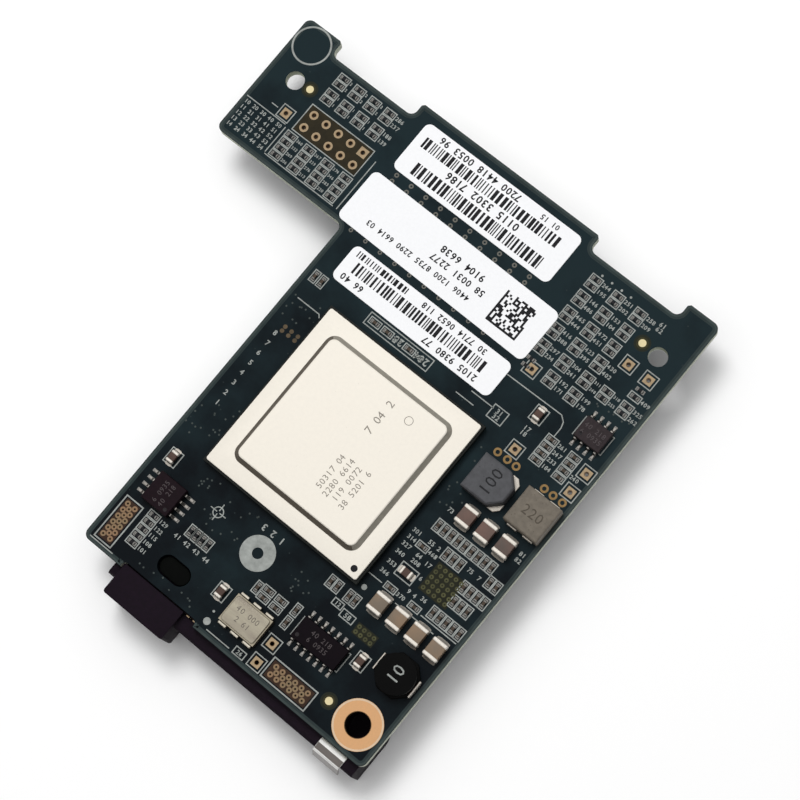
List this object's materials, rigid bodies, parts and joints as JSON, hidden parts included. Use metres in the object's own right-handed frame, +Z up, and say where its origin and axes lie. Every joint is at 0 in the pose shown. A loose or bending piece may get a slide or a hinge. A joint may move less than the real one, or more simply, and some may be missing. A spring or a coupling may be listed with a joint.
{
  "type": "fibre channel host bus adapter card",
  "caption": "Tabbed plug-in adapter card with a lidded controller, power parts and small chips on top and a stacking connector under its bottom edge.",
  "frame": {"origin": "centre of the bounding box in plan, on the mating face of the connector that the card stands on", "axes": "+X to the right along the card's bottom edge, +Y from the connector edge to the notched top edge, +Z up out of the component face"},
  "size_m": [0.083, 0.0906, 0.0126],
  "materials": {
    "solder_mask": "satin solder mask",
    "copper_pad": "bare plated copper",
    "connector_black": "moulded, fine grain",
    "contact_gold": "gold plated",
    "spring_steel": "bright bent sheet",
    "nickel_lid": "satin plated",
    "substrate_dark": "laminate",
    "silicon": "polished",
    "solder": "bright solder",
    "epoxy_black": "moulded",
    "tinned_lead": "tinned",
    "ceramic_brown": "fired",
    "can_lid": "satin",
    "land_gold": "solder over gold",
    "inductor_grey": "moulded powder",
    "inductor_beige": "moulded powder",
    "ferrite_black": "sintered",
    "winding_copper": "enamelled wire",
    "capacitor_red": "fired",
    "capacitor_tan": "fired",
    "end_metal": "tinned",
    "chip_black": "glazed chip with tinned ends",
    "chip_brown": "fired chip with tinned ends",
    "label_paper": "smooth sticker"
  },
  "bodies": {
    "root": {"circuit_board": "solder_mask", "screw_pad": "copper_pad", "controller_substrate": "substrate_dark", "controller_balls": "solder", "controller_lid": "nickel_lid", "controller_die": "silicon", "connector_housing": "connector_black", "connector_contacts": "contact_gold", "connector_clip": "spring_steel", "logic_chip_body": "epoxy_black", "logic_chip_leads": "tinned_lead", "flash_chip_body": "epoxy_black", "flash_chip_leads": "tinned_lead", "regulator_chip_body": "epoxy_black", "regulator_chip_leads": "tinned_lead", "oscillator_base": "ceramic_brown", "oscillator_lid": "can_lid", "oscillator_lands": "land_gold", "cut_corner_inductor_body": "inductor_grey", "cut_corner_inductor_terminals": "end_metal", "square_inductor_body": "inductor_beige", "square_inductor_terminals": "end_metal", "drum_inductor_core": "ferrite_black", "drum_inductor_winding": "winding_copper", "drum_inductor_terminals": "end_metal", "upper_bulk_capacitors": "capacitor_red", "lower_bulk_capacitors": "capacitor_tan", "bulk_capacitor_ends": "end_metal", "small_capacitors": "capacitor_tan", "small_capacitor_ends": "end_metal", "chip_resistors": "chip_black", "chip_capacitors": "chip_brown", "upper_label": "label_paper", "middle_label": "label_paper", "lower_label": "label_paper"}
  },
  "joints": []
}
